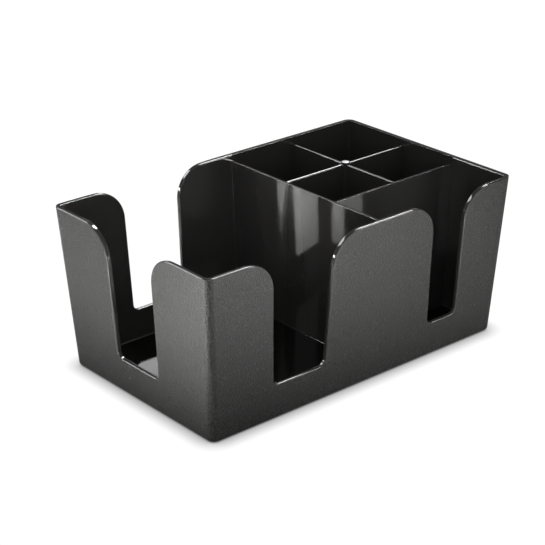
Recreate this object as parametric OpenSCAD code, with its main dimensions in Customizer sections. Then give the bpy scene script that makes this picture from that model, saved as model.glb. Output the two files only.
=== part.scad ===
// Counter caddy: a moulded tray with a napkin bay, a straw bay and a block of four small cells.
// Millimetres, +Z up. The origin is on the surface that the feet stand on, under the middle of the tray.
// +X runs along the tray from the napkin bay to the cells, and -Y is the long side with two cut-outs.

/* [Tray] */
// Outside length at the rim
rim_l = 240; // [225:1:300]
// Outside width at the rim
rim_w = 147; // [120:1:190]
// Height of the tray from the underside of its floor to the rim
tray_h = 104; // [80:1:140]
// Lean of every wall from upright, in degrees
wall_lean = 3.4; // [0:0.1:6]
// Thickness of the walls
wall_t = 3; // [2:0.1:3.6]
// Thickness of the floor
floor_t = 3; // [2.4:0.1:5]
// Outside radius of the four upright corners
corner_r = 5; // [4.5:0.1:12]
// Radius of the edge round the underside
base_edge_r = 1.2; // [0.4:0.1:3]
// Radius where the walls meet the floor inside
floor_edge_r = 1; // [0.4:0.1:1.4]
// Width of the small bevels along the rim
rim_bevel = 0.6; // [0.2:0.1:0.9]

/* [Cut-outs] */
// Height of the sills above the underside of the floor
sill_h = 22; // [12:0.5:40]
// Radius of the wall tops beside a cut-out
shoulder_r = 20; // [8:0.5:24]
// Radius of the lower corners of a cut-out
sill_r = 4; // [1:0.5:8]
// Width of the three napkin cut-outs at the sill
napkin_cut_w = 39.4; // [24:0.1:50]
// Distance of the napkin cut-outs in the long walls from the middle of the tray
napkin_cut_x = 49.7; // [42:0.1:56]
// Flare of each side of the front napkin cut-out, in degrees
front_flare = 2.4; // [0:0.1:4]
// Flare of each side of the other napkin cut-outs, in degrees
napkin_flare = 1.1; // [0:0.1:4]
// Width of the straw bay's cut-out at the sill
straw_cut_w = 24.4; // [14:0.1:34]
// Distance of the straw bay's cut-out from the middle of the tray
straw_cut_x = 66.5; // [60:0.1:72]
// Flare of each side of the straw bay's cut-out, in degrees
straw_flare = 0.8; // [0:0.1:4]

/* [Dividers] */
// Thickness of every divider
divider_t = 1.8; // [1.4:0.1:2.4]
// Width of the bevels along the top edges of the dividers
divider_bevel = 0.4; // [0.1:0.1:0.6]
// Distance from the rim down to the top edges of the dividers
divider_drop = 4; // [1:0.5:12]
// Distance of the main divider from the middle of the tray, along the tray
main_x = 15.3; // [5:0.1:25]
// Distance of the straw divider from the middle of the tray, towards the front
straw_y = 26.1; // [18:0.1:36]
// Distance of the cross panels that run lengthwise from the middle of the tray, towards the back
cross_y = 18.9; // [8:0.1:30]
// Distance of the cross panels that run across from the middle of the tray
cross_x = 65.8; // [50:0.1:80]
// How deep the dividers sit in the grooves of the walls and the floor
groove_depth = 0.6; // [0.3:0.1:1]
// Gap between a divider and the sides and ends of its groove
groove_gap = 0.1; // [0.05:0.01:0.2]

/* [Centre post] */
// Diameter of the post where the cross panels meet
post_d = 5.4; // [4.8:0.1:8]
// Height of the post above the top edges of the dividers
post_proud = 1.1; // [0.4:0.1:3]
// Width of the small bevel round the top of the post
post_bevel = 0.3; // [0.1:0.1:0.5]
// Diameter of the spigot under the post
spigot_d = 3; // [2:0.1:4]
// Length of the spigot
spigot_h = 1.2; // [0.6:0.1:1.4]

/* [Feet] */
// Diameter of each foot
foot_d = 14; // [8:0.5:20]
// Height of the feet below the underside of the floor
foot_proud = 1; // [0.5:0.1:2]
// Depth of the sockets that hold the feet
socket_depth = 1; // [0.5:0.1:1.2]
// Distance from the walls' lower edge to the middle of each foot
foot_inset = 15; // [12:0.5:25]
// Width of the bevel round the lower edge of each foot
foot_bevel = 0.4; // [0.2:0.1:0.5]

/* [Hidden] */

// Overrun of the cuts
overrun = 1;
// Steps in each arc of an outline, degrees between the outlines round an edge, and sides of round pieces
arc_steps = 10;
edge_step = 30;
round_sides = 96;

// Colours, as the pieces look
shell_colour = "#3f3e3c";
gloss_colour = "#1c1b19";
rubber_colour = "#151515";

// Heights in the row frame
base_z = foot_proud;
floor_z = base_z + floor_t;
rim_z = base_z + tray_h;
sill_z = base_z + sill_h;
divider_z = rim_z - divider_drop;
groove_floor_z = floor_z - groove_depth;
post_top_z = divider_z + post_proud;

// Half sizes of the outside at the lower edge of the walls
base_half_l = rim_l / 2 - lean_at(base_z);
base_half_w = rim_w / 2 - lean_at(base_z);

// How far the ends of the dividers reach into their grooves, and how deep the slots in the post are
seat = groove_depth - groove_gap;
slot_depth = (post_d - spigot_d) / 2;
slot_seat = slot_depth - groove_gap;
groove_w = divider_t + 2 * groove_gap;

// Faces of the main divider and the straw divider that the other dividers end at
main_face_x = main_x + divider_t / 2;
straw_face_y = divider_t / 2 - straw_y;

// How far a wall stands in from its place at the rim, at the height z
function lean_at(z) = (rim_z - z) * tan(wall_lean);

// Half length and half width between the inner faces of the walls at the height z
function inner_half_l(z) = rim_l / 2 - wall_t - lean_at(z);
function inner_half_w(z) = rim_w / 2 - wall_t - lean_at(z);

// Tangent length of a radius r laid into a corner that is flare degrees wider than square
function tangent_length(r, flare) = r / tan((90 + flare) / 2);

// Points on an arc of radius r round the point centre, from the angle a0 to the angle a1
function arc(centre, r, a0, a1) =
    [for (i = [0 : arc_steps]) let (a = a0 + (a1 - a0) * i / arc_steps) centre + r * [cos(a), sin(a)]];

// Outline of the tray at the height z, set in by inset from the outside of its walls
function ring(z, inset) =
    let (
        r = corner_r - inset,
        x = rim_l / 2 - lean_at(z) - corner_r,
        y = rim_w / 2 - lean_at(z) - corner_r
    )
    [for (p = concat(arc([x, y], r, 0, 90), arc([-x, y], r, 90, 180),
        arc([-x, -y], r, 180, 270), arc([x, -y], r, 270, 360))) [p[0], p[1], z]];

// The solid through a stack of such outlines, the lowest first
module stacked(rings) {
    n = len(rings[0]);
    last = len(rings) - 1;
    polyhedron(
        points = [for (r = rings) each r],
        faces = concat(
            [[for (i = [0 : n - 1]) i]],
            [[for (i = [1 : n]) n * last + n - i]],
            [for (k = [0 : last - 1], i = [0 : n - 1])
                [n * k + i, n * (k + 1) + i, n * (k + 1) + (i + 1) % n, n * k + (i + 1) % n]]
        )
    );
}

// The outside of the tray as one solid block, with its lower edge rounded and its rim bevelled
module outer_block() {
    stacked(concat(
        [for (a = [0 : edge_step : 90])
            ring(base_z + base_edge_r * (1 - cos(a)), base_edge_r * (1 - sin(a)))],
        [ring(rim_z - rim_bevel, 0), ring(rim_z, rim_bevel)]
    ));
}

// The space inside the walls, with a radius along the floor and a bevel at the rim
module inner_block() {
    stacked(concat(
        [for (a = [0 : edge_step : 90])
            ring(floor_z + floor_edge_r * (1 - cos(a)), wall_t + floor_edge_r * (1 - sin(a)))],
        [ring(rim_z - rim_bevel, wall_t), ring(rim_z + overrun, wall_t - rim_bevel - overrun)]
    ));
}

// Right-hand half of a cut-out's outline, its origin at the middle of the sill, its top above the rim.
// The side leans out by flare degrees, so the arcs in its corners are that much longer or shorter.
function half_outline(w, flare) =
    let (
        h = rim_z - sill_z,
        sill_x = w / 2 - tangent_length(sill_r, flare),
        shoulder_x = w / 2 + h * tan(flare) + tangent_length(shoulder_r, flare)
    )
    concat(
        arc([sill_x, sill_r], sill_r, -90, -flare),
        arc([shoulder_x, h - shoulder_r], shoulder_r, 180 - flare, 90),
        [[shoulder_x, h + overrun]]
    );

// Outline of a whole cut-out
module cut_outline(w, flare) {
    half = half_outline(w, flare);
    n = len(half);
    polygon(concat(half, [for (i = [1 : n]) [-half[n - i][0], half[n - i][1]]]));
}

// A cut-out through a long wall: side is -1 for the front and 1 for the back
module long_wall_cut(side, x, w, flare) {
    depth = rim_w / 2 - inner_half_w(base_z) + 2 * overrun;
    translate([x, side * (inner_half_w(base_z) - overrun + depth / 2), sill_z])
        rotate([90, 0, 0]) linear_extrude(height = depth, center = true) cut_outline(w, flare);
}

// The cut-out through the end wall of the napkin bay
module end_wall_cut(w, flare) {
    depth = rim_l / 2 - inner_half_l(base_z) + 2 * overrun;
    translate([-(inner_half_l(base_z) - overrun + depth / 2), 0, sill_z])
        rotate([90, 0, 90]) linear_extrude(height = depth, center = true) cut_outline(w, flare);
}

// Middle of each foot: sx and sy are -1 or 1
module at_foot(sx, sy) {
    translate([sx * (base_half_l - foot_inset), sy * (base_half_w - foot_inset), 0]) children();
}

// A plate of thickness t between two ends u0 and u1, each [its place at the floor groove, at the top]
module plate(u0, u1, t) {
    linear_extrude(height = t, center = true)
        polygon([[u0[0], groove_floor_z], [u1[0], groove_floor_z], [u1[1], divider_z], [u0[1], divider_z]]);
}

// A divider: a plate with both of its top edges bevelled
module divider(u0, u1) {
    half_t = divider_t / 2;
    intersection() {
        plate(u0, u1, divider_t);
        translate([u0[1] - overrun, 0, 0]) rotate([90, 0, 90])
            linear_extrude(height = u1[1] - u0[1] + 2 * overrun)
                polygon([
                    [groove_floor_z, -half_t],
                    [divider_z - divider_bevel, -half_t],
                    [divider_z, divider_bevel - half_t],
                    [divider_z, half_t - divider_bevel],
                    [divider_z - divider_bevel, half_t],
                    [groove_floor_z, half_t]
                ]);
    }
}

// Turns a plate to run along the tray, at the distance y from its middle
module lengthwise(y) {
    translate([0, y, 0]) rotate([90, 0, 0]) children();
}

// Turns a plate to run across the tray, at the distance x from its middle
module across(x) {
    translate([x, 0, 0]) rotate([90, 0, 90]) children();
}

// Ends of the plates. Those at a wall follow its lean, and the rest are upright.
// reach is how far the end goes past the face that it meets.
function at_end_wall(reach) = [inner_half_l(groove_floor_z) + reach, inner_half_l(divider_z) + reach];
function at_back_wall(reach) = [inner_half_w(groove_floor_z) + reach, inner_half_w(divider_z) + reach];
function at_front_wall(reach) = -at_back_wall(reach);
function upright(u) = [u, u];

// Groove for the main divider in the front wall, the floor and the back wall
module main_groove() {
    across(main_x) plate(at_front_wall(groove_depth), at_back_wall(groove_depth), groove_w);
}

// Groove for a lengthwise divider in the floor and the end wall
module lengthwise_groove(y) {
    lengthwise(y) plate(upright(main_x), at_end_wall(groove_depth), groove_w);
}

// Groove for the cross panels in the floor and the back wall
module cross_groove() {
    across(cross_x) plate(upright(-straw_y), at_back_wall(groove_depth), groove_w);
}

module tray_shell() {
    color(shell_colour)
    difference() {
        outer_block();
        inner_block();
        long_wall_cut(-1, -napkin_cut_x, napkin_cut_w, front_flare);
        long_wall_cut(1, -napkin_cut_x, napkin_cut_w, napkin_flare);
        long_wall_cut(-1, straw_cut_x, straw_cut_w, straw_flare);
        end_wall_cut(napkin_cut_w, napkin_flare);
        main_groove();
        lengthwise_groove(-straw_y);
        lengthwise_groove(cross_y);
        cross_groove();
        translate([cross_x, cross_y, floor_z - spigot_h])
            cylinder(h = spigot_h + overrun, d = spigot_d + 2 * groove_gap, $fn = round_sides);
        for (sx = [-1, 1], sy = [-1, 1])
            at_foot(sx, sy) translate([0, 0, base_z - overrun])
                cylinder(h = socket_depth + overrun, d = foot_d + 2 * groove_gap, $fn = round_sides);
    }
}

// The main divider is grooved on its right face for the two lengthwise dividers
module main_divider() {
    color(gloss_colour)
    difference() {
        across(main_x) divider(at_front_wall(seat), at_back_wall(seat));
        for (y = [-straw_y, cross_y])
            translate([main_face_x - groove_depth, y - groove_w / 2, groove_floor_z - overrun])
                cube([groove_depth + overrun, groove_w, tray_h]);
    }
}

// The straw divider is grooved on its back face for the front cross panel
module straw_divider() {
    color(gloss_colour)
    difference() {
        lengthwise(-straw_y) divider(upright(main_face_x - seat), at_end_wall(seat));
        translate([cross_x - groove_w / 2, straw_face_y - groove_depth, groove_floor_z - overrun])
            cube([groove_w, groove_depth + overrun, tray_h]);
    }
}

// The four cross panels meet in the slots of the centre post
module grid_panel_left() {
    color(gloss_colour)
    lengthwise(cross_y) divider(upright(main_face_x - seat), upright(cross_x - post_d / 2 + slot_seat));
}

module grid_panel_right() {
    color(gloss_colour)
    lengthwise(cross_y) divider(upright(cross_x + post_d / 2 - slot_seat), at_end_wall(seat));
}

module grid_panel_front() {
    color(gloss_colour)
    across(cross_x) divider(upright(straw_face_y - seat), upright(cross_y - post_d / 2 + slot_seat));
}

module grid_panel_back() {
    color(gloss_colour)
    across(cross_x) divider(upright(cross_y + post_d / 2 - slot_seat), at_back_wall(seat));
}

// A round post with four slots, open at the bottom, that hold the inner edges of the cross panels
module centre_post() {
    color(gloss_colour)
    translate([cross_x, cross_y, 0]) {
        difference() {
            rotate_extrude($fn = round_sides)
                polygon([
                    [0, floor_z],
                    [post_d / 2, floor_z],
                    [post_d / 2, post_top_z - post_bevel],
                    [post_d / 2 - post_bevel, post_top_z],
                    [0, post_top_z]
                ]);
            for (turn = [0 : 90 : 270])
                rotate([0, 0, turn])
                    translate([post_d / 2 - slot_depth, -groove_w / 2, floor_z - overrun])
                        cube([slot_depth + overrun, groove_w, divider_z - floor_z + overrun]);
        }
        translate([0, 0, floor_z - spigot_h]) cylinder(h = spigot_h, d = spigot_d, $fn = round_sides);
    }
}

// A round foot with a bevelled lower edge, seated on the top of its socket
module foot(sx, sy) {
    top = foot_proud + socket_depth;
    color(rubber_colour)
    at_foot(sx, sy) rotate_extrude($fn = round_sides)
        polygon([
            [0, 0],
            [foot_d / 2 - foot_bevel, 0],
            [foot_d / 2, foot_bevel],
            [foot_d / 2, top],
            [0, top]
        ]);
}

tray_shell();
main_divider();
straw_divider();
grid_panel_left();
grid_panel_right();
grid_panel_front();
grid_panel_back();
centre_post();
foot(-1, -1);  // foot_front_left
foot(1, -1);  // foot_front_right
foot(-1, 1);  // foot_back_left
foot(1, 1);  // foot_back_right
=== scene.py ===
"""Counter caddy: a moulded tray with a napkin bay, a straw bay and a block of four small cells.

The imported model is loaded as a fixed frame, and every piece made here stands for the node that it
replaces. Sizes are millimetres in the frame of that model: the origin is on the surface that the feet
stand on, +X runs along the tray from the napkin bay to the cells, and -Y is the side with two cut-outs.
A mesh is shaped in millimetres and turned to metres once it is finished.
"""

import logging
import math
from collections.abc import Iterable, Mapping, Sequence
from dataclasses import dataclass, field
from enum import Enum
from typing import Any

import bmesh
import bpy
from bmesh.types import BMesh, BMEdge, BMFace, BMVert
from mathutils import Matrix, Quaternion, Vector


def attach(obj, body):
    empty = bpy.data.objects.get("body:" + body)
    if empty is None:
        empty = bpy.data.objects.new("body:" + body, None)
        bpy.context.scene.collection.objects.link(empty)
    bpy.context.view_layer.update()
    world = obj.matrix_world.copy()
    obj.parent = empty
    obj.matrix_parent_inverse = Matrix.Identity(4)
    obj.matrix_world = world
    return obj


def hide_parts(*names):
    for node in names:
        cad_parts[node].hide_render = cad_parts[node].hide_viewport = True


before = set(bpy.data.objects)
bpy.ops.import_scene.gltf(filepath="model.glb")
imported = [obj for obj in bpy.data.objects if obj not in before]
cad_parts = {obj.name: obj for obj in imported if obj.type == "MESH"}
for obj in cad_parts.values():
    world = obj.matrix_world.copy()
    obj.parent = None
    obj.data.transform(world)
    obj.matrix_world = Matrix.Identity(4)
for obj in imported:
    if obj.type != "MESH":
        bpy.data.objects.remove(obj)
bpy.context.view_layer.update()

LOG = logging.getLogger("caddy")

# Metres in a millimetre, and millimetres in a metre
MM = 0.001
PER_METRE = 1000.0
# Points nearer than this are one point, and heights nearer than LEVEL are one height
WELD = 0.0005
LEVEL = 0.005
# Edges that turn more than this stay crisp, and edges that turn more than the next are corners
CRISP = math.radians(38)
CORNER = math.radians(60)
RIGHT_ANGLE = math.radians(90)
# A face whose normal has more than this of an axis looks along that axis
ALONG = 0.99

# Places that several pieces share: the dividers' middles, the cross panels' post and the tray's floor
MAIN_X, STRAW_Y = 15.3, -26.1
CROSS_X, CROSS_Y = 65.8, 18.9
POST_R = 2.7
FLOOR_Z = 4.0
# Middle of the tray at its rim, in metres, where the edge lights aim
TRAY_TOP = (0.0, 0.0, 0.1)
# Sinks of the main divider: by the cross panel and the straw divider, which stand on its far side
SINKS = (18.2, -24.3)
# Index of the sunk finish, above that of real ABS, so that the mirror of the main divider is bright enough
SUNK_IOR = 2.1
# Most of the values of a noise lie between these
NOISE_SPAN = (0.3, 0.7)

# Sockets of the Mix node when it mixes colours
MIX_FACTOR, MIX_A, MIX_B, MIX_RESULT = 0, 6, 7, 2


class Slot(Enum):
    """Names of material slots."""

    SHELL = "shell"
    DIVIDERS = "dividers"
    FEET = "feet"


class Wall(Enum):
    """Walls that have a cut-out. Each value is the wall's turn from the front, in degrees."""

    FRONT = 0
    BACK = 180
    NAPKIN_END = -90


class Meets(Enum):
    """What an end of a divider meets."""

    WALL = "wall"
    DIVIDER = "divider"
    POST = "post"


class Run(Enum):
    """Direction of a divider."""

    LENGTHWISE = 0
    ACROSS = 90


class Rounds(Enum):
    """What is rounded. Each value is the bevel operator's word for it."""

    EDGES = "EDGES"
    CORNERS = "VERTICES"


def srgb(colour: str) -> tuple[float, float, float, float]:
    """Turns an sRGB colour to the linear one that a shader takes.

    Args:
        colour: A hex colour such as "#1c1b19".

    Returns:
        Linear red, green and blue, and an alpha of 1.
    """
    shares = [int(colour[i : i + 2], 16) / 255 for i in (1, 3, 5)]
    red, green, blue = (s / 12.92 if s <= 0.04045 else ((s + 0.055) / 1.055) ** 2.4 for s in shares)
    return red, green, blue, 1.0


def add_node(
    tree: bpy.types.NodeTree, kind: str, inputs: Mapping[str | int, Any] | None = None, **settings: Any
) -> bpy.types.Node:
    """Adds one node with its settings, values and links.

    Args:
        tree: The node tree that takes the node.
        kind: The node's type, such as "ShaderNodeTexNoise".
        inputs: For a socket's name or number, its value or the output that feeds it.
        settings: Properties of the node itself.

    Returns:
        The new node.
    """
    node = tree.nodes.new(kind)
    for name, value in settings.items():
        setattr(node, name, value)
    for name, value in (inputs or {}).items():
        if isinstance(value, bpy.types.NodeSocket):
            tree.links.new(value, node.inputs[name])
        else:
            node.inputs[name].default_value = value
    return node


def start_material(name: str) -> tuple[bpy.types.Material, bpy.types.NodeTree, bpy.types.NodeSocket]:
    """Starts a material.

    Args:
        name: Its name.

    Returns:
        The material, its node tree, and the Object coordinates, in metres.
    """
    material = bpy.data.materials.new(name)
    material.use_nodes = True
    tree = material.node_tree
    tree.nodes.clear()
    return material, tree, add_node(tree, "ShaderNodeTexCoord").outputs["Object"]


def add_noise(
    tree: bpy.types.NodeTree,
    place: bpy.types.NodeSocket,
    size: float,
    detail: float = 2.0,
    roughness: float = 0.5,
) -> bpy.types.NodeSocket:
    """Adds a noise.

    Args:
        tree: The node tree.
        place: The Object coordinates, in metres.
        size: Width of its lumps, in millimetres.
        detail: How many layers of finer lumps it has.
        roughness: How strong the finer layers are.

    Returns:
        The noise, from 0 to 1.
    """
    return add_node(
        tree,
        "ShaderNodeTexNoise",
        {"Vector": place, "Scale": PER_METRE / size, "Detail": detail, "Roughness": roughness},
    ).outputs["Fac"]


def add_mix(
    tree: bpy.types.NodeTree, factor: bpy.types.NodeSocket, low: str | bpy.types.NodeSocket, high: str
) -> bpy.types.NodeSocket:
    """Mixes two colours.

    Args:
        tree: The node tree.
        factor: The share of the second colour.
        low: The first colour, as a hex colour or a socket.
        high: The second colour, as a hex colour.

    Returns:
        The mixed colour.
    """
    first = srgb(low) if isinstance(low, str) else low
    return add_node(
        tree,
        "ShaderNodeMix",
        {MIX_FACTOR: factor, MIX_A: first, MIX_B: srgb(high)},
        data_type="RGBA",
    ).outputs[MIX_RESULT]


def add_maths(
    tree: bpy.types.NodeTree, operation: str, *terms: float | bpy.types.NodeSocket
) -> bpy.types.NodeSocket:
    """Adds one step of arithmetic on numbers or sockets, and returns its result."""
    return add_node(tree, "ShaderNodeMath", dict(enumerate(terms)), operation=operation).outputs["Value"]


def add_spread(
    tree: bpy.types.NodeTree, noise: bpy.types.NodeSocket, centre: float, spread: float
) -> bpy.types.NodeSocket:
    """Adds a value that follows a noise.

    Args:
        tree: The node tree.
        noise: The noise.
        centre: The middle of the value.
        spread: How far from its middle the value mostly goes.

    Returns:
        The value.
    """
    return add_node(
        tree,
        "ShaderNodeMapRange",
        {
            "Value": noise,
            "From Min": NOISE_SPAN[0],
            "From Max": NOISE_SPAN[1],
            "To Min": centre - spread,
            "To Max": centre + spread,
        },
    ).outputs["Result"]


def add_bump(
    tree: bpy.types.NodeTree, height: bpy.types.NodeSocket, depth: float = 1.0
) -> bpy.types.NodeSocket:
    """Adds a bump.

    Args:
        tree: The node tree.
        height: The height of the surface.
        depth: What a height of 1 stands for, in millimetres.

    Returns:
        The normals of the surface.
    """
    return add_node(
        tree, "ShaderNodeBump", {"Height": height, "Strength": 1.0, "Distance": depth * MM}
    ).outputs["Normal"]


def add_shader(tree: bpy.types.NodeTree, inputs: Mapping[str, Any]) -> None:
    """Ends a material in one shader with these inputs."""
    shader = add_node(tree, "ShaderNodeBsdfPrincipled", inputs).outputs["BSDF"]
    add_node(tree, "ShaderNodeOutputMaterial", {"Surface": shader})


@dataclass(frozen=True)
class SparkErodedAbs:
    """ABS moulded against a spark-eroded steel face: a fine dark grain, a satin sheen and painted
    highlights on its peaks.
    """

    name: str = "spark_eroded_abs"
    colour: str = "#141413"
    worn_colour: str = "#1b1b1a"
    ior: float = 1.54
    roughness: float = 0.36
    roughness_spread: float = 0.15
    # The real grain is about 0.3 mm. It is drawn coarser, so that it shows from a step away
    grain: float = 1.0
    grain_depth: float = 0.35
    # Painted highlight: the peaks of the grain get this lighter colour, as if they caught the light
    peak_highlight_colour: str = "#494947"
    # Heights of the grain, from 0 to 1, between which the painted highlights come up
    peak_highlight_span: tuple[float, float] = (0.54, 0.74)
    # Width of the clouds in the colour, in millimetres
    cloud: float = 34.0

    def material(self) -> bpy.types.Material:
        """Makes the material: clouded colour, painted highlights on the peaks of a fine grain, and uneven
        sheen.

        Returns:
            The material.
        """
        material, tree, place = start_material(self.name)
        clouds = add_noise(tree, place, self.cloud, detail=3.0, roughness=0.6)
        grain = add_noise(tree, place, self.grain, roughness=0.55)
        colour = add_mix(tree, clouds, self.colour, self.worn_colour)
        # Painted highlights: the peaks of the grain are mixed towards a lighter colour
        peak_highlights = add_node(
            tree,
            "ShaderNodeMapRange",
            {"Value": grain, "From Min": self.peak_highlight_span[0], "From Max": self.peak_highlight_span[1]},
        ).outputs["Result"]
        colour = add_mix(tree, peak_highlights, colour, self.peak_highlight_colour)
        sheen = add_spread(tree, grain, self.roughness, self.roughness_spread)
        surface = add_bump(tree, grain, self.grain_depth)
        add_shader(tree, {"Base Color": colour, "Roughness": sheen, "IOR": self.ior, "Normal": surface})
        return material


@dataclass(frozen=True)
class PolishedAbs:
    """ABS moulded against polished steel: near black and mirror bright, with faint waves in its mirror.

    Where panels stand on the far side of a wall, the wall sinks a little, and the sinks break up what
    it mirrors. They are shallow, so that they show in reflections alone.
    """

    name: str = "polished_abs"
    # Painted fill light: lighter than the near-black plastic, so that the walls and dividers inside the
    # tray are lifted
    colour: str = "#464544"
    ior: float = 1.54
    roughness: float = 0.07
    roughness_spread: float = 0.02
    # Width and depth of the waves in the mirror, and width of the hazy spots, in millimetres
    wave: float = 30.0
    wave_depth: float = 0.02
    haze: float = 6.0
    # Places of the sinks along Y, and their half width and depth, in millimetres
    sinks: tuple[float, ...] = ()
    sink_reach: float = 8.5
    sink_depth: float = 0.55

    def sunk(
        self, tree: bpy.types.NodeTree, along: bpy.types.NodeSocket, place: float
    ) -> bpy.types.NodeSocket:
        """Adds the profile of one sink.

        Args:
            tree: The node tree.
            along: The place along Y, in metres.
            place: The middle of the sink, in millimetres.

        Returns:
            The depth of the sink in millimetres, as a socket.
        """
        reach = self.sink_reach
        offset = add_maths(tree, "MULTIPLY_ADD", along, PER_METRE / reach, -place / reach)
        squared = add_maths(tree, "MULTIPLY", offset, offset)
        bell = add_maths(tree, "EXPONENT", add_maths(tree, "MULTIPLY", squared, -0.5))
        return add_maths(tree, "MULTIPLY", bell, self.sink_depth)

    def material(self) -> bpy.types.Material:
        """Makes the material: a black gloss whose reflections waver a little, as on moulded walls.

        Returns:
            The material.
        """
        material, tree, place = start_material(self.name)
        waves = add_noise(tree, place, self.wave, detail=1.0, roughness=0.4)
        haze = add_noise(tree, place, self.haze, detail=3.0, roughness=0.6)
        gloss = add_spread(tree, haze, self.roughness, self.roughness_spread)
        height = add_maths(tree, "MULTIPLY", waves, self.wave_depth)
        along = add_node(tree, "ShaderNodeSeparateXYZ", {"Vector": place}).outputs["Y"]
        for sink in self.sinks:
            height = add_maths(tree, "SUBTRACT", height, self.sunk(tree, along, sink))
        surface = add_bump(tree, height)
        colour = srgb(self.colour)
        add_shader(tree, {"Base Color": colour, "Roughness": gloss, "IOR": self.ior, "Normal": surface})
        return material


@dataclass(frozen=True)
class PaintedGlintAbs:
    """The top of the post, trimmed off flush where the moulding gate was: rough, and painted white as a
    highlight for its glint.
    """

    name: str = "painted_glint_abs"
    colour: str = "#e2e1dd"
    shade_colour: str = "#b9b8b4"
    # Above that of real ABS, so that the small disc is as bright as it looks
    ior: float = 2.6
    roughness: float = 0.5
    # Width of the mottle in the painted highlight, in millimetres
    glint_mottle_width: float = 0.7

    def material(self) -> bpy.types.Material:
        """Makes the material: a painted highlight in matt, milky white with a slight mottle.

        Returns:
            The material.
        """
        material, tree, place = start_material(self.name)
        glint_mottle = add_noise(tree, place, self.glint_mottle_width, detail=3.0)
        colour = add_mix(tree, glint_mottle, self.colour, self.shade_colour)
        add_shader(tree, {"Base Color": colour, "Roughness": self.roughness, "IOR": self.ior})
        return material


@dataclass(frozen=True)
class MouldedRubber:
    """Moulded nitrile rubber: dull black, with a fine matt grain that hardly reflects."""

    name: str = "moulded_rubber"
    colour: str = "#171717"
    dust_colour: str = "#232221"
    ior: float = 1.52
    roughness: float = 0.78
    # Width and depth of the grain, and width of the dusty spots, in millimetres
    grain: float = 0.6
    grain_depth: float = 0.03
    dust: float = 4.0

    def material(self) -> bpy.types.Material:
        """Makes the material: dull black with a trace of dust and a fine grain.

        Returns:
            The material.
        """
        material, tree, place = start_material(self.name)
        dust = add_noise(tree, place, self.dust, detail=4.0, roughness=0.65)
        grain = add_noise(tree, place, self.grain)
        colour = add_mix(tree, dust, self.colour, self.dust_colour)
        surface = add_bump(tree, grain, self.grain_depth)
        add_shader(
            tree,
            {"Base Color": colour, "Roughness": self.roughness, "IOR": self.ior, "Normal": surface},
        )
        return material


@dataclass(frozen=True)
class StudioPaper:
    """White background paper that glows plain white to the camera, with a painted contact shadow at the
    base.
    """

    name: str = "studio_paper"
    colour: str = "#f2f2f1"
    shade_colour: str = "#eeeeec"
    roughness: float = 0.9
    mottle: float = 60.0
    # How far the painted contact shadow reaches on the paper, in millimetres, and how white the paper glows
    painted_shadow_reach: float = 11.0
    painted_shadow_samples: int = 16
    whiteness: float = 1.02

    def material(self) -> bpy.types.Material:
        """Makes the material: matt white and hardly mottled where lamps light it, and a white glow with a
        painted contact shadow where the camera looks at it.

        Returns:
            The material.
        """
        material, tree, place = start_material(self.name)
        mottle = add_noise(tree, place, self.mottle)
        colour = add_mix(tree, mottle, self.colour, self.shade_colour)
        matt = add_node(
            tree, "ShaderNodeBsdfPrincipled", {"Base Color": colour, "Roughness": self.roughness}
        ).outputs["BSDF"]
        # Painted contact shadow: ambient occlusion darkens the paper's glow near the tray
        painted_contact_shadow = add_node(
            tree,
            "ShaderNodeAmbientOcclusion",
            {"Distance": self.painted_shadow_reach * MM},
            samples=self.painted_shadow_samples,
        ).outputs["Color"]
        sight = add_node(
            tree, "ShaderNodeEmission", {"Color": painted_contact_shadow, "Strength": self.whiteness}
        ).outputs["Emission"]
        seen = add_node(tree, "ShaderNodeLightPath").outputs["Is Camera Ray"]
        shader = add_node(tree, "ShaderNodeMixShader", {"Fac": seen, 1: matt, 2: sight}).outputs["Shader"]
        add_node(tree, "ShaderNodeOutputMaterial", {"Surface": shader})
        return material


def round_off(
    bm: BMesh, geom: Iterable[BMEdge | BMVert], reach: float, steps: int, what: Rounds = Rounds.EDGES
) -> list[BMFace]:
    """Rounds the edges of a mesh, or the corners of a flat outline.

    Args:
        bm: The mesh. An outline is one face in it.
        geom: The edges or the corners to round.
        reach: How far the rounding reaches along each face or side, in millimetres.
        steps: Faces across the rounding of an edge, or sides in the arc of a corner.
        what: Whether these are edges or corners.

    Returns:
        The faces of the rounding.
    """
    made = bmesh.ops.bevel(
        bm,
        geom=list(geom),
        offset=reach,
        offset_type="OFFSET",
        profile_type="SUPERELLIPSE",
        segments=steps,
        profile=0.5,
        affect=what.value,
        clamp_overlap=False,
        material=-1,
    )
    return made["faces"]


def cut_plane(bm: BMesh, point: Sequence[float], normal: Sequence[float], clear: bool = False) -> None:
    """Cuts a whole mesh along a plane.

    Args:
        bm: The mesh.
        point: A point on the plane.
        normal: The direction in which the plane looks.
        clear: Whether what lies in that direction is taken away.
    """
    whole = [*bm.verts, *bm.edges, *bm.faces]
    bmesh.ops.bisect_plane(bm, geom=whole, dist=WELD, plane_co=point, plane_no=normal, clear_outer=clear)


def turn_of(edge: BMEdge) -> float:
    """Returns the angle between the two faces at an edge, or zero on an open edge."""
    return edge.calc_face_angle(0.0)


def middle(edge: BMEdge) -> Vector:
    """Returns the middle point of an edge."""
    return (edge.verts[0].co + edge.verts[1].co) / 2


def to_mesh(bm: BMesh, name: str, materials: Sequence[bpy.types.Material]) -> bpy.types.Mesh:
    """Turns a bmesh to a mesh with material slots, and frees the bmesh.

    Args:
        bm: The bmesh.
        name: The name of the new mesh.
        materials: Its materials, in the order of the faces' material numbers.

    Returns:
        The mesh.
    """
    mesh = bpy.data.meshes.new(name)
    for material in materials:
        mesh.materials.append(material)
    bm.to_mesh(mesh)
    bm.free()
    return mesh


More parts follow.
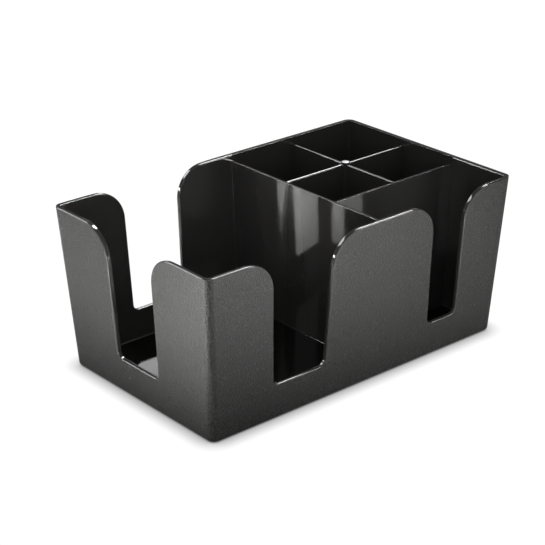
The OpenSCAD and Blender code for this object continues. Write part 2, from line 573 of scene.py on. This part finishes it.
def absorb(bm: BMesh, other: BMesh) -> None:
    """Adds the geometry of another bmesh to a bmesh, and frees the other.

    Args:
        bm: The bmesh that grows.
        other: The bmesh that is added.
    """
    carrier = bpy.data.meshes.new("carrier")
    other.to_mesh(carrier)
    other.free()
    bm.from_mesh(carrier)
    bpy.data.meshes.remove(carrier)


def cut_away(body: BMesh, tool: BMesh, materials: Sequence[bpy.types.Material]) -> BMesh:
    """Cuts one closed mesh out of another.

    Args:
        body: The mesh that is cut.
        tool: The mesh that is taken away.
        materials: Materials of both, so that each face keeps its own.

    Returns:
        The mesh that is left.
    """
    cut_object = bpy.data.objects.new("body", to_mesh(body, "body", materials))
    tool_object = bpy.data.objects.new("tool", to_mesh(tool, "tool", materials))
    for part in (cut_object, tool_object):
        bpy.context.scene.collection.objects.link(part)
    cut = cut_object.modifiers.new("cut", "BOOLEAN")
    cut.operation = "DIFFERENCE"
    cut.solver = "EXACT"
    cut.object = tool_object
    bpy.context.view_layer.update()
    evaluated = cut_object.evaluated_get(bpy.context.evaluated_depsgraph_get())
    left = bpy.data.meshes.new_from_object(evaluated)
    result = bmesh.new()
    result.from_mesh(left)
    bmesh.ops.remove_doubles(result, verts=result.verts, dist=WELD)
    for part in (cut_object, tool_object):
        mesh = part.data
        bpy.data.objects.remove(part)
        bpy.data.meshes.remove(mesh)
    bpy.data.meshes.remove(left)
    return result


def finish_piece(
    bm: BMesh, name: str, materials: Sequence[bpy.types.Material], nodes: Sequence[str]
) -> bpy.types.Object:
    """Turns a finished bmesh to a piece that stands for its CAD nodes.

    Args:
        bm: The mesh, in millimetres, in its place.
        name: The name of the piece.
        materials: Its materials, in the order of the faces' material numbers.
        nodes: The CAD nodes that it replaces.

    Returns:
        The piece.
    """
    bmesh.ops.scale(bm, vec=(MM, MM, MM), verts=bm.verts)
    for face in bm.faces:
        face.smooth = True
    for edge in bm.edges:
        edge.smooth = turn_of(edge) < CRISP
    piece = bpy.data.objects.new(name, to_mesh(bm, name, materials))
    bpy.context.scene.collection.objects.link(piece)
    even = piece.modifiers.new("even_shading", "WEIGHTED_NORMAL")
    even.keep_sharp = True
    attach(piece, "root")
    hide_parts(*nodes)
    LOG.info("piece %s: %d faces, for %s", name, len(piece.data.polygons), ", ".join(nodes))
    return piece


@dataclass(frozen=True)
class CutOut:
    """One finger cut-out in a wall, open at the rim."""

    wall: Wall
    # Its middle along the wall, its width at the sill, and how far its sides lean outwards, in degrees
    centre: float
    width: float
    flare: float
    sill_z: float = 23.0
    sill_r: float = 4.0
    shoulder_r: float = 20.0
    sill_steps: int = 8
    shoulder_steps: int = 18

    def tangent(self, radius: float) -> float:
        """Returns how far an arc of this radius reaches along the sides of its corner."""
        return radius / math.tan(math.radians(90 + self.flare) / 2)

    def tool(self, rim_z: float, near: float, far: float, overrun: float) -> BMesh:
        """Makes the solid that is cut away.

        Args:
            rim_z: Height of the rim.
            near: Distance of the solid's inner end from the middle of the tray.
            far: Distance of its outer end.
            overrun: How far it runs above the rim.

        Returns:
            A closed mesh.
        """
        height = rim_z - self.sill_z
        half = self.width / 2
        lean_out = half + height * math.tan(math.radians(self.flare))
        rim_half = lean_out + self.tangent(self.shoulder_r)
        right = [(half, 0.0), (lean_out, height), (rim_half, height), (rim_half, height + overrun)]
        outline = right + [(-x, z) for x, z in reversed(right)]
        bm = bmesh.new()
        corners = [bm.verts.new((self.centre + x, -far, self.sill_z + z)) for x, z in outline]
        bm.faces.new(corners)
        sill = (corners[0], corners[-1])
        round_off(bm, sill, self.tangent(self.sill_r), self.sill_steps, Rounds.CORNERS)
        shoulders = [
            v
            for v in bm.verts
            if abs(v.co.z - rim_z) < WELD and abs(abs(v.co.x - self.centre) - lean_out) < WELD
        ]
        reach = self.tangent(self.shoulder_r)
        round_off(bm, shoulders, reach, self.shoulder_steps, Rounds.CORNERS)
        bmesh.ops.remove_doubles(bm, verts=bm.verts, dist=WELD)
        made = bmesh.ops.extrude_face_region(bm, geom=list(bm.faces), use_keep_orig=True)
        moved = [g for g in made["geom"] if isinstance(g, BMVert)]
        bmesh.ops.translate(bm, vec=(0, far - near, 0), verts=moved)
        turn = Matrix.Rotation(math.radians(self.wall.value), 3, "Z")
        if self.wall is Wall.BACK:
            # Mirrored and not turned, so that its middle stays where it is along X
            turn = Matrix.Diagonal((1, -1, 1))
        bmesh.ops.transform(bm, matrix=turn.to_4x4(), verts=bm.verts)
        bmesh.ops.recalc_face_normals(bm, faces=bm.faces)
        for face in bm.faces:
            face.material_index = TrayShell.GLOSS
        return bm


@dataclass
class TrayShell:
    """The moulded tray: leaning walls, a floor, four finger cut-outs and a rounded rim."""

    GRAIN = 0
    GLOSS = 1
    FLOOR = 2

    grain: bpy.types.Material
    gloss: bpy.types.Material
    floor: bpy.types.Material
    # Half the length and width at the rim, and the rim's height: a hair inside the box of the solids
    half_l: float = 119.96
    half_w: float = 73.45
    rim_z: float = 104.99
    # Height of the underside, and the radius along its edge
    base_z: float = 0.4
    base_edge_r: float = 2.0
    floor_z: float = FLOOR_Z
    # Lean of the walls from upright, in degrees, and their thickness
    lean: float = 3.4
    wall: float = 3.0
    corner_r: float = 5.0
    floor_edge_r: float = 1.0
    # Radius of the rounded edges of the rim, and of the crisp ones
    rim_r: float = 0.8
    crisp_r: float = 0.1
    # Length of the rim over which its inner edge goes from rounded to crisp
    change: float = 0.8
    corner_steps: int = 10
    edge_steps: int = 5
    crisp_steps: int = 2
    # How far the tools of the cut-outs run past the walls
    overrun: float = 1.0
    cut_outs: tuple[CutOut, ...] = (
        CutOut(Wall.FRONT, -49.7, 39.4, 2.4),
        CutOut(Wall.BACK, -49.7, 39.4, 1.1),
        CutOut(Wall.FRONT, 66.5, 24.4, 0.8),
        CutOut(Wall.NAPKIN_END, 0.0, 39.4, 1.1),
    )

    def lean_at(self, z: float) -> float:
        """Returns how far a wall stands in from its place at the rim, at the height z."""
        return (self.rim_z - z) * math.tan(math.radians(self.lean))

    def inner_half_l(self, z: float) -> float:
        """Returns half the length between the inner faces of the walls at the height z."""
        return self.half_l - self.wall - self.lean_at(z)

    def inner_half_w(self, z: float) -> float:
        """Returns half the width between the inner faces of the walls at the height z."""
        return self.half_w - self.wall - self.lean_at(z)

    def leaning_block(self, inset: float, low_z: float, edge_r: float) -> BMesh:
        """Makes a block that follows the walls, open at the rim.

        Args:
            inset: How far it stands in from the outside of the walls.
            low_z: Height of its lower face.
            edge_r: Radius along the lower face.

        Returns:
            The block without its top face.
        """
        bm = bmesh.new()
        bmesh.ops.create_cube(bm, size=2.0)
        half_l, half_w = self.half_l - inset, self.half_w - inset
        bmesh.ops.scale(bm, vec=(half_l, half_w, (self.rim_z - low_z) / 2), verts=bm.verts)
        bmesh.ops.translate(bm, vec=(0, 0, (self.rim_z + low_z) / 2), verts=bm.verts)
        low = [v for v in bm.verts if v.co.z < self.rim_z - WELD]
        lean = self.lean_at(low_z)
        bmesh.ops.scale(bm, vec=((half_l - lean) / half_l, (half_w - lean) / half_w, 1), verts=low)
        upright = [e for e in bm.edges if abs(e.verts[0].co.z - e.verts[1].co.z) > WELD]
        round_off(bm, upright, self.corner_r - inset, self.corner_steps)
        under = [e for e in bm.edges if max(v.co.z for v in e.verts) < low_z + WELD]
        round_off(bm, under, edge_r, self.edge_steps)
        lid = [f for f in bm.faces if min(v.co.z for v in f.verts) > self.rim_z - WELD]
        bmesh.ops.delete(bm, geom=lid, context="FACES_ONLY")
        return bm

    def blank(self) -> BMesh:
        """Makes the tray before its cut-outs: the outside, the inside and the flat rim between them.

        Returns:
            A closed mesh.
        """
        bm = self.leaning_block(0.0, self.base_z, self.base_edge_r)
        inside = self.leaning_block(self.wall, self.floor_z, self.floor_edge_r)
        bmesh.ops.reverse_faces(inside, faces=inside.faces)
        for face in inside.faces:
            is_floor = face.normal.z > ALONG and middle(face.edges[0]).z < self.floor_z + WELD
            face.material_index = self.FLOOR if is_floor else self.GLOSS
        absorb(bm, inside)
        rims = [e for e in bm.edges if e.is_boundary]
        for face in bmesh.ops.bridge_loops(bm, edges=rims)["faces"]:
            face.material_index = self.GLOSS
        bmesh.ops.recalc_face_normals(bm, faces=bm.faces)
        return bm

    def tools(self) -> BMesh:
        """Makes the four solids that are cut away, as one mesh.

        Returns:
            A mesh of four closed parts.
        """
        bm = bmesh.new()
        for cut_out in self.cut_outs:
            if cut_out.wall is Wall.NAPKIN_END:
                near, far = self.inner_half_l(self.base_z), self.half_l
            else:
                near, far = self.inner_half_w(self.base_z), self.half_w
            absorb(bm, cut_out.tool(self.rim_z, near - self.overrun, far + self.overrun, self.overrun))
        return bm

    def is_crisp(self, edge: BMEdge) -> bool:
        """Says if an edge of the rim is crisp: inside over the cells, and outside at the back and right.

        Args:
            edge: An edge of the tray.

        Returns:
            True for a crisp edge of the rim.
        """
        point = middle(edge)
        outside = [f.normal for f in edge.link_faces if f.material_index == self.GRAIN]
        if outside:
            crisp = outside[0].x + outside[0].y > 0
        else:
            behind = point.x > MAIN_X and point.y > 0
            crisp = behind or (point.x > self.inner_half_l(self.base_z) and point.y > STRAW_Y)
        return crisp and point.z > self.rim_z - LEVEL

    def split_rim(self, bm: BMesh) -> None:
        """Splits the rim where the dividers reach it, because its inner edge changes there.

        A second cut keeps the change within a short stretch, so that the rest of the rim stays flat.

        Args:
            bm: The tray with its cut-outs.
        """
        cuts = []
        for change in (0.0, self.change):
            cuts.append(((MAIN_X + change, 0, 0), (1, 0, 0)))
            cuts.append(((0, STRAW_Y + change, 0), (0, 1, 0)))
        for point, normal in cuts:
            strip = [
                f
                for f in bm.faces
                if min(v.co.z for v in f.verts) > self.rim_z - WELD
                and (f.calc_center_median().y > 0 if normal[0] else f.calc_center_median().x > 0)
            ]
            edges = {e for f in strip for e in f.edges}
            verts = {v for f in strip for v in f.verts}
            bmesh.ops.bisect_plane(
                bm, geom=[*strip, *edges, *verts], dist=WELD, plane_co=point, plane_no=normal
            )

    def round_rim(self, bm: BMesh) -> None:
        """Rounds the edges of the rim and of the cut-outs.

        Args:
            bm: The tray with its cut-outs.
        """
        low_z = min(c.sill_z for c in self.cut_outs) - LEVEL

        def corners() -> list[BMEdge]:
            """Returns the edges at or above the sills that are corners."""
            return [e for e in bm.edges if turn_of(e) > CORNER and min(v.co.z for v in e.verts) > low_z]

        wide = [e for e in corners() if not self.is_crisp(e)]
        for face in round_off(bm, wide, self.rim_r, self.edge_steps):
            face.material_index = self.GLOSS
        round_off(bm, corners(), self.crisp_r, self.crisp_steps)

    def build(self) -> bpy.types.Object:
        """Builds and dresses the tray.

        Returns:
            The piece.
        """
        materials = (self.grain, self.gloss, self.floor)
        bm = cut_away(self.blank(), self.tools(), materials)
        self.split_rim(bm)
        self.round_rim(bm)
        return finish_piece(bm, "tray_shell_moulding", materials, ["tray_shell"])


@dataclass(frozen=True)
class Panel:
    """One divider: where it stands, and where its ends are."""

    node: str
    run: Run
    # Its place across its run. Then what each end meets and where, which a wall's lean decides
    offset: float
    start: Meets
    start_at: float
    end: Meets
    end_at: float


@dataclass
class Dividers:
    """The upright dividers, each with a flared root where it meets the walls and the floor."""

    gloss: bpy.types.Material
    sunk_gloss: bpy.types.Material
    tray: TrayShell
    thickness: float = 1.8
    top_z: float = 101.0
    # Radius of the roots of the main divider, and of the others
    main_root_r: float = 0.12
    root_r: float = 0.2
    root_steps: int = 4
    # Radius along the tops of the two long dividers, and of the cross panels
    crisp_top_r: float = 0.12
    round_top_r: float = 0.75
    top_steps: int = 4
    # Length of the top beyond each root that keeps its square edges
    stub: float = 0.1
    # How far the cross panels reach into the post
    post_bite: float = 0.2

    def panels(self) -> list[Panel]:
        """Lists the dividers, in the order of the build.

        Returns:
            The dividers.
        """
        half_t = self.thickness / 2
        main_face, straw_face = MAIN_X + half_t, STRAW_Y + half_t
        post = POST_R - self.post_bite
        to_wall = (Meets.WALL, 0.0)
        from_main = (Meets.DIVIDER, main_face)
        from_straw = (Meets.DIVIDER, straw_face)
        return [
            Panel("main_divider", Run.ACROSS, MAIN_X, *to_wall, *to_wall),
            Panel("straw_divider", Run.LENGTHWISE, STRAW_Y, *from_main, *to_wall),
            Panel("grid_panel_left", Run.LENGTHWISE, CROSS_Y, *from_main, Meets.POST, CROSS_X - post),
            Panel("grid_panel_right", Run.LENGTHWISE, CROSS_Y, Meets.POST, CROSS_X + post, *to_wall),
            Panel("grid_panel_front", Run.ACROSS, CROSS_X, *from_straw, Meets.POST, CROSS_Y - post),
            Panel("grid_panel_back", Run.ACROSS, CROSS_X, Meets.POST, CROSS_Y + post, *to_wall),
        ]

    def end_place(self, panel: Panel, side: int, z: float) -> float:
        """Finds where an end of a divider is, at a height.

        Args:
            panel: The divider.
            side: -1 for its start, 1 for its end.
            z: The height.

        Returns:
            The place along the divider.
        """
        meets, place = (panel.start, panel.start_at) if side < 0 else (panel.end, panel.end_at)
        if meets is not Meets.WALL:
            return place
        half = self.tray.inner_half_l(z) if panel.run is Run.LENGTHWISE else self.tray.inner_half_w(z)
        return side * half

    def shape(self, panel: Panel) -> BMesh:
        """Makes one divider, from a thick block whose two large faces are drawn in along their borders.

        Args:
            panel: The divider.

        Returns:
            A closed mesh in its place.
        """
        root_r = self.root_of(panel)
        spare = 2 * root_r
        low_z, high_z = self.tray.floor_z, self.top_z + spare
        half_t = self.thickness / 2
        bm = bmesh.new()
        bmesh.ops.create_cube(bm, size=2.0)
        for vert in bm.verts:
            side = -1 if vert.co.x < 0 else 1
            z = low_z if vert.co.z < 0 else high_z
            meets = panel.start if side < 0 else panel.end
            beyond = side * spare if meets is Meets.POST else 0.0
            place = self.end_place(panel, side, z) + beyond
            vert.co = Vector((place, math.copysign(half_t + root_r, vert.co.y), z))
        self.draw_in(bm, root_r)
        trims = [((0, 0, self.top_z), (0, 0, 1))]
        if panel.start is Meets.POST:
            trims.append(((panel.start_at, 0, 0), (-1, 0, 0)))
        if panel.end is Meets.POST:
            trims.append(((panel.end_at, 0, 0), (1, 0, 0)))
        for point, normal in trims:
            cut_plane(bm, point, normal, clear=True)
            bmesh.ops.contextual_create(bm, geom=[e for e in bm.edges if e.is_boundary])
        bmesh.ops.recalc_face_normals(bm, faces=bm.faces)
        low_x, high_x = self.straight_span(bm, panel, root_r)
        top = [
            e
            for e in bm.edges
            if min(v.co.z for v in e.verts) > self.top_z - WELD
            and min(v.co.x for v in e.verts) > low_x - WELD
            and max(v.co.x for v in e.verts) < high_x + WELD
            and turn_of(e) > CORNER
            and abs(middle(e).y) > WELD
        ]
        top_r = self.round_top_r if panel.node.startswith("grid") else self.crisp_top_r
        round_off(bm, top, top_r, self.top_steps)
        turn = Matrix.Rotation(math.radians(panel.run.value), 4, "Z")
        bmesh.ops.transform(bm, matrix=turn, verts=bm.verts)
        shift = (0, panel.offset, 0) if panel.run is Run.LENGTHWISE else (panel.offset, 0, 0)
        bmesh.ops.translate(bm, vec=shift, verts=bm.verts)
        return bm

    def straight_span(self, bm: BMesh, panel: Panel, root_r: float) -> list[float]:
        """Cuts a divider across just inside the roots at its ends, so that its top is rounded between them.

        Args:
            bm: The divider, along X.
            panel: What its ends meet.
            root_r: Radius of its roots.

        Returns:
            The places along X between which the top is straight.
        """
        span = []
        for side, meets in ((-1, panel.start), (1, panel.end)):
            place = self.end_place(panel, side, self.top_z)
            if meets is not Meets.POST:
                place -= side * (root_r + self.stub)
                cut_plane(bm, (place, 0, 0), (1, 0, 0))
            span.append(place)
        return span

    def root_of(self, panel: Panel) -> float:
        """Returns the radius of a divider's roots."""
        return self.main_root_r if panel.node == "main_divider" else self.root_r

    def draw_in(self, bm: BMesh, root_r: float) -> None:
        """Draws the two large faces of a block in, so that their borders become concave roots.

        Args:
            bm: The block, its large faces towards -Y and +Y.
            root_r: Radius of the roots.
        """
        large = [f for f in bm.faces if abs(f.normal.y) > ALONG]
        step = RIGHT_ANGLE / self.root_steps
        for face in large:
            for i in range(self.root_steps):
                inwards = root_r * (math.cos(i * step) - math.cos((i + 1) * step))
                down = root_r * (math.sin((i + 1) * step) - math.sin(i * step))
                bmesh.ops.inset_region(
                    bm,
                    faces=[face],
                    thickness=inwards,
                    depth=-down,
                    use_even_offset=True,
                    use_boundary=True,
                )

    def build(self) -> list[bpy.types.Object]:
        """Builds and dresses every divider.

        Returns:
            The pieces, in the order of the list.
        """
        pieces = []
        for panel in self.panels():
            gloss = self.sunk_gloss if panel.node == "main_divider" else self.gloss
            name = panel.node + "_moulding"
            pieces.append(finish_piece(self.shape(panel), name, (gloss,), [panel.node]))
        return pieces


@dataclass
class CentrePost:
    """The round post where the four cross panels meet. The moulding gate was on its top, which is painted
    white as a highlight.
    """

    PAINTED_GLINT = 1

    gloss: bpy.types.Material
    painted_glint: bpy.types.Material
    radius: float = POST_R
    floor_z: float = FLOOR_Z
    top_z: float = 102.1
    # Radius of the edge at the top, and of the root on the floor
    top_r: float = 0.3
    root_r: float = 1.2
    # Faces round the post, along the root's profile and along the top edge's
    steps: int = 48
    root_steps: int = 4
    top_steps: int = 3

    def build(self) -> bpy.types.Object:
        """Spins the post from its half profile, and dresses it.

        Returns:
            The piece.
        """
        bm = bmesh.new()
        foot = bm.verts.new((self.radius + self.root_r, 0, self.floor_z))
        root = bmesh.ops.spin(
            bm,
            geom=[foot],
            cent=(self.radius + self.root_r, 0, self.floor_z + self.root_r),
            axis=(0, 1, 0),
            angle=RIGHT_ANGLE,
            steps=self.root_steps,
        )
        start = next(g for g in root["geom_last"] if isinstance(g, BMVert))
        side = self.extrude(bm, start, (0, 0, self.top_z - self.top_r - self.floor_z - self.root_r))
        shoulder = bmesh.ops.spin(
            bm,
            geom=[side],
            cent=(self.radius - self.top_r, 0, self.top_z - self.top_r),
            axis=(0, 1, 0),
            angle=-RIGHT_ANGLE,
            steps=self.top_steps,
        )
        top = next(g for g in shoulder["geom_last"] if isinstance(g, BMVert))
        self.extrude(bm, top, (self.top_r - self.radius, 0, 0))
        profile = [*bm.verts, *bm.edges]
        bmesh.ops.spin(
            bm,
            geom=profile,
            cent=(0, 0, 0),
            axis=(0, 0, 1),
            angle=math.radians(360),
            steps=self.steps,
            use_merge=True,
        )
        bmesh.ops.remove_doubles(bm, verts=bm.verts, dist=WELD)
        bmesh.ops.holes_fill(bm, edges=[e for e in bm.edges if e.is_boundary], sides=0)
        bmesh.ops.recalc_face_normals(bm, faces=bm.faces)
        # The flat top gets the painted highlight
        for face in bm.faces:
            if face.normal.z > ALONG and face.calc_center_median().z > self.top_z - WELD:
                face.material_index = self.PAINTED_GLINT
        bmesh.ops.translate(bm, vec=(CROSS_X, CROSS_Y, 0), verts=bm.verts)
        materials = (self.gloss, self.painted_glint)
        return finish_piece(bm, "centre_post_moulding", materials, ["centre_post"])

    @staticmethod
    def extrude(bm: BMesh, vert: BMVert, step: tuple[float, float, float]) -> BMVert:
        """Draws a vertex out to an edge.

        Args:
            bm: The mesh.
            vert: The vertex.
            step: The way from it to the far end of the edge.

        Returns:
            The far end.
        """
        made = bmesh.ops.extrude_vert_indiv(bm, verts=[vert])["verts"][0]
        bmesh.ops.translate(bm, vec=step, verts=[made])
        return made


@dataclass
class Feet:
    """Four round rubber feet, each in its socket under a corner of the tray."""

    rubber: bpy.types.Material
    tray: TrayShell
    radius: float = 7.0
    inset: float = 15.0
    low_z: float = 0.0
    high_z: float = 1.0
    edge_r: float = 0.4
    edge_steps: int = 3
    sides: int = 64
    places: dict[str, tuple[int, int]] = field(
        default_factory=lambda: {
            "foot_front_left": (-1, -1),
            "foot_front_right": (1, -1),
            "foot_back_left": (-1, 1),
            "foot_back_right": (1, 1),
        }
    )

    def shape(self, side_x: int, side_y: int) -> BMesh:
        """Makes one foot.

        Args:
            side_x: -1 at the napkin bay, 1 at the cells.
            side_y: -1 at the front, 1 at the back.

        Returns:
            A closed mesh in its place.
        """
        base_l = self.tray.half_l - self.tray.lean_at(self.tray.base_z)
        base_w = self.tray.half_w - self.tray.lean_at(self.tray.base_z)
        bm = bmesh.new()
        bmesh.ops.create_circle(bm, cap_ends=True, radius=self.radius, segments=self.sides)
        bmesh.ops.translate(bm, vec=(0, 0, self.low_z), verts=bm.verts)
        made = bmesh.ops.extrude_face_region(bm, geom=list(bm.faces), use_keep_orig=True)
        raised = [g for g in made["geom"] if isinstance(g, BMVert)]
        bmesh.ops.translate(bm, vec=(0, 0, self.high_z - self.low_z), verts=raised)
        bmesh.ops.recalc_face_normals(bm, faces=bm.faces)
        lower = [e for e in bm.edges if max(v.co.z for v in e.verts) < self.low_z + WELD]
        round_off(bm, lower, self.edge_r, self.edge_steps)
        place = (side_x * (base_l - self.inset), side_y * (base_w - self.inset), 0)
        bmesh.ops.translate(bm, vec=place, verts=bm.verts)
        return bm

    def build(self) -> list[bpy.types.Object]:
        """Builds and dresses the four feet.

        Returns:
            The pieces.
        """
        return [
            finish_piece(self.shape(*sides), node + "_rubber", (self.rubber,), [node])
            for node, sides in self.places.items()
        ]


@dataclass(frozen=True)
class SoftBox:
    """One soft area light. Its places and sizes are metres, and its spread is in degrees."""

    name: str
    place: tuple[float, float, float]
    aim: tuple[float, float, float]
    width: float
    height: float
    radiance: float
    spread: float = 180.0
    # False for the lights that are there for highlights alone: they leave the paper as it is
    lights_matt: bool = True

    def build(self) -> bpy.types.Object:
        """Hangs the light, turned to its aim.

        Returns:
            The light.
        """
        lamp = bpy.data.lights.new(self.name, "AREA")
        lamp.shape = "RECTANGLE"
        lamp.size = self.width
        lamp.size_y = self.height
        lamp.energy = self.radiance * math.pi * self.width * self.height
        lamp.spread = math.radians(self.spread)
        light = bpy.data.objects.new(self.name, lamp)
        light.location = self.place
        towards = Vector(self.aim) - Vector(self.place)
        light.rotation_mode = "QUATERNION"
        light.rotation_quaternion = towards.to_track_quat("-Z", "Y")
        light.visible_camera = False
        light.visible_diffuse = self.lights_matt
        bpy.context.scene.collection.objects.link(light)
        return light


@dataclass
class Studio:
    """The floor, the soft lights, the surroundings and the camera."""

    paper: bpy.types.Material
    # Half the side of the floor, in metres
    floor_half: float = 4.0
    # Colours of the distance: what the camera sees past the floor, and what lights and mirrors in the room
    sight: str = "#ffffff"
    dusk: str = "#7d7d7d"
    # The camera, in millimetres, degrees and pixels of a picture that is image_px wide
    camera_place: tuple[float, float, float] = (-625.69, -722.79, 474.04)
    azimuth: float = -39.807
    elevation: float = 23.997
    roll: float = -0.661
    focal_px: float = 1695.6
    image_px: float = 545.0
    sensor: float = 36.0
    shift_px: tuple[float, float] = (14.658, 3.524)
    clip_end: float = 50.0
    # The edge boxes and the card draw the highlights along the edges. The pools light the paper beside the
    # tray, which its outside mirrors as a glow that fades downwards
    boxes: tuple[SoftBox, ...] = (
        SoftBox("right_edge_box", (0.62, 0.33, 0.93), TRAY_TOP, 0.30, 0.50, 44.0, lights_matt=False),
        SoftBox("back_edge_box", (-0.30, 0.78, 0.80), TRAY_TOP, 0.60, 0.35, 9.0, lights_matt=False),
        SoftBox("low_left_strip", (-0.78, 0.78, 0.22), TRAY_TOP, 0.50, 0.10, 34.0, lights_matt=False),
        SoftBox("front_edge_box", (0.60, -0.73, 0.36), TRAY_TOP, 0.15, 0.30, 24.0, lights_matt=False),
        SoftBox(
            "low_back_card", (0.10, 0.25, 0.128), (-0.08, 0.04, 0.0), 0.08, 0.06, 2.4, lights_matt=False
        ),
        SoftBox("left_pool", (-0.34, 0.0, 0.32), (-0.34, 0.0, 0.0), 0.10, 0.20, 30.0, spread=66.0),
        SoftBox("right_pool", (0.07, -0.40, 0.45), (0.07, -0.40, 0.0), 0.22, 0.12, 26.0, spread=75.0),
        SoftBox("back_pool", (-0.08, 0.25, 0.22), (-0.08, 0.25, 0.0), 0.16, 0.16, 2.8, spread=64.0),
        SoftBox("front_fill", (-0.60, -0.86, 0.42), (0.0, 0.0, 0.2), 0.6, 0.36, 1.2),
    )

    def floor(self) -> bpy.types.Object:
        """Lays the plain pale floor.

        Returns:
            The floor.
        """
        bm = bmesh.new()
        bmesh.ops.create_grid(bm, x_segments=1, y_segments=1, size=self.floor_half)
        floor = bpy.data.objects.new("studio_floor", to_mesh(bm, "studio_floor", (self.paper,)))
        bpy.context.scene.collection.objects.link(floor)
        return floor

    def surroundings(self) -> None:
        """Makes a dim room round the lights, with a white distance where the floor ends."""
        world = bpy.data.worlds.new("studio")
        world.use_nodes = True
        tree = world.node_tree
        tree.nodes.clear()
        seen = add_node(tree, "ShaderNodeLightPath").outputs["Is Camera Ray"]
        colour = add_mix(tree, seen, self.dusk, self.sight)
        sky = add_node(tree, "ShaderNodeBackground", {"Color": colour}).outputs["Background"]
        add_node(tree, "ShaderNodeOutputWorld", {"Surface": sky})
        bpy.context.scene.world = world

    def camera(self) -> bpy.types.Object:
        """Sets up the camera at the photograph's viewing angle.

        Returns:
            The camera.
        """
        az, el = math.radians(self.azimuth), math.radians(self.elevation)
        back = Vector((math.sin(az) * math.cos(el), -math.cos(az) * math.cos(el), math.sin(el)))
        lens = bpy.data.cameras.new("camera")
        lens.sensor_width = self.sensor
        lens.lens = self.sensor * self.focal_px / self.image_px
        lens.shift_x = self.shift_px[0] / self.image_px
        lens.shift_y = self.shift_px[1] / self.image_px
        lens.clip_end = self.clip_end
        camera = bpy.data.objects.new("camera", lens)
        camera.location = Vector(self.camera_place) * MM
        camera.rotation_mode = "QUATERNION"
        level = (-back).to_track_quat("-Z", "Y")
        camera.rotation_quaternion = level @ Quaternion((0, 0, 1), math.radians(self.roll))
        bpy.context.scene.collection.objects.link(camera)
        bpy.context.scene.camera = camera
        return camera

    def build(self) -> None:
        """Sets the whole studio up."""
        self.camera()
        self.floor()
        self.surroundings()
        for box in self.boxes:
            box.build()
        bpy.context.scene.view_settings.view_transform = "Standard"
        LOG.info("studio: camera, floor and %d soft boxes", len(self.boxes))


def main() -> None:
    """Builds the studio and then the caddy, piece by piece."""
    logging.basicConfig(level=logging.INFO, format="%(name)s: %(message)s")
    Studio(StudioPaper().material()).build()
    gloss = PolishedAbs().material()
    sunk_gloss = PolishedAbs("polished_abs_with_sinks", ior=SUNK_IOR, sinks=SINKS).material()
    # The tray's floor keeps a darker colour of the same plastic, without the painted fill light
    floor_gloss_without_fill = PolishedAbs("polished_abs_floor_without_fill", colour="#171716").material()
    tray = TrayShell(SparkErodedAbs().material(), gloss, floor_gloss_without_fill)
    tray.build()
    Dividers(gloss, sunk_gloss, tray).build()
    CentrePost(gloss, PaintedGlintAbs().material()).build()
    Feet(MouldedRubber().material(), tray).build()


if __name__ == "__main__":
    main()
